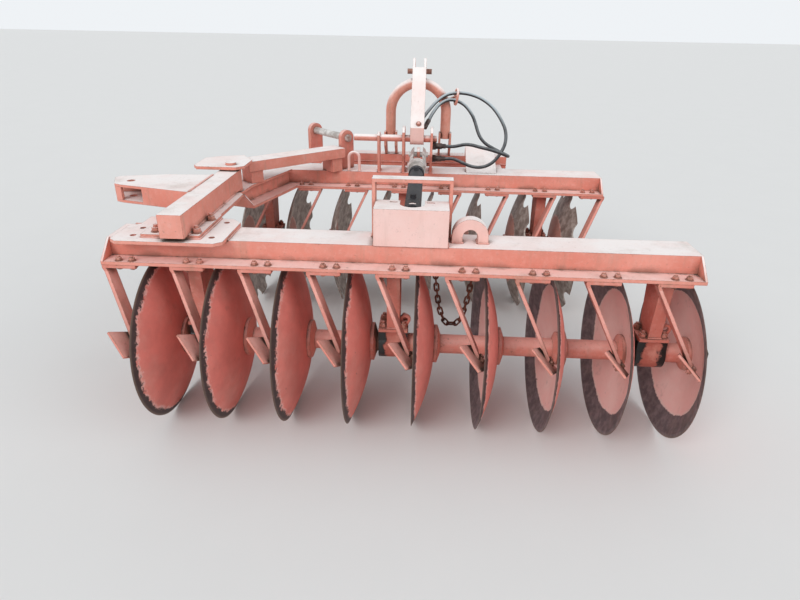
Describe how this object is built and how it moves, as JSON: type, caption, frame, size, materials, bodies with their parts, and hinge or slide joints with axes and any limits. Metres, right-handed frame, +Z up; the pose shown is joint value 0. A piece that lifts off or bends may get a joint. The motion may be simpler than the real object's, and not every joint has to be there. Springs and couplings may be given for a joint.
{
  "type": "mounted offset disc harrow",
  "caption": "Mounted offset disc harrow with a notched front gang and a plain rear gang on a hinged frame opened by a cylinder.",
  "frame": {"origin": "middle of the harrow's box, on the floor it stands on", "axes": "+X to the right seen from behind, along the gangs; +Y ahead, towards the tractor; +Z up"},
  "size_m": [2.2648, 1.6999, 1.217],
  "materials": {
    "paint": "faded salmon-red paint, chalky, with dirt and chips",
    "paint_pale": "sun-bleached salmon paint, matt",
    "disc_plain": "painted disc with a worn, rusty bare rim",
    "disc_notched": "mostly bare, brown rusty disc with remains of paint",
    "greasy_steel": "dark greasy steel",
    "bare_steel": "bare sliding steel with light rust",
    "barrel_black": "black painted cylinder barrel",
    "chain_iron": "rusty chain",
    "fitting_steel": "dull zinc-plated hose fittings with dirt",
    "hose_rubber": "black hydraulic hose, dusty"
  },
  "bodies": {
    "front_frame": {"front_beam": "paint", "front_hangers": "paint", "front_scraper_arms": "paint", "front_scraper_blades": "paint", "side_arm": "paint", "hinge_ears": "paint", "diagonal_channel": "paint", "slide_lugs": "paint", "clevis_plates": "paint", "cylinder_tab": "paint", "cross_shaft": "paint", "hitch_beam": "paint", "hitch_arms": "paint", "hoop": "paint", "hose_ring": "paint", "mast_strap": "paint_pale", "mast_ears": "paint_pale", "front_gusset": "paint_pale", "rope_hook": "paint_pale", "front_bearings": "greasy_steel", "hinge_pin": "greasy_steel", "lower_hitch_pins": "greasy_steel", "top_link_pin": "greasy_steel", "hose_fittings": "fitting_steel", "low_coupler": "fitting_steel", "high_coupler": "fitting_steel", "low_hose": "hose_rubber", "high_hose": "hose_rubber", "slide_pin": "bare_steel"},
    "front_gang": {"front_discs": "disc_notched", "front_spools": "paint", "front_shaft": "greasy_steel"},
    "rear_frame": {"rear_beam": "paint", "rear_hangers": "paint", "rear_bearings": "greasy_steel", "rear_scraper_arms": "paint", "rear_scraper_blades": "paint", "wing_plate": "paint_pale", "foot_plate": "paint", "side_tube": "paint_pale", "side_fork": "paint_pale", "cylinder_box": "paint_pale", "portal_strap": "paint", "lifting_arch": "paint", "hanger_lugs": "paint", "hanging_chain": "chain_iron"},
    "rear_gang": {"rear_discs": "disc_plain", "rear_spools": "paint", "rear_shaft": "greasy_steel"},
    "cylinder_barrel": {"barrel": "barrel_black"},
    "cylinder_rod": {"rod": "bare_steel"}
  },
  "joints": [
    {"name": "front_gang_spin", "type": "hinge", "parent": "front_frame", "child": "front_gang", "pos_m": [0.07061, 0.512, 0.305], "axis": [1, 0, 0], "continuous": true},
    {"name": "rear_frame_swing", "type": "hinge", "parent": "front_frame", "child": "rear_frame", "pos_m": [-0.72939, -0.005, 0.764], "axis": [0, 0, -1], "range_deg": [0, 24]},
    {"name": "rear_gang_spin", "type": "hinge", "parent": "rear_frame", "child": "rear_gang", "pos_m": [0.07061, -0.545, 0.305], "axis": [1, 0, 0], "continuous": true},
    {"name": "barrel_turn", "type": "hinge", "parent": "rear_frame", "child": "cylinder_barrel", "pos_m": [0.05061, -0.525, 0.8], "axis": [0, 0, 1], "range_deg": [0, 11.5]},
    {"name": "rod_slide", "type": "slide", "parent": "cylinder_barrel", "child": "cylinder_rod", "axis": [0, 1, 0], "range_m": [0, 0.31]}
  ],
  "couplings": [
    {"joint": "barrel_turn", "follows": "rear_frame_swing", "ratio": 0.46},
    {"joint": "rod_slide", "follows": "rear_frame_swing", "m_per_rad": 0.73568}
  ]
}
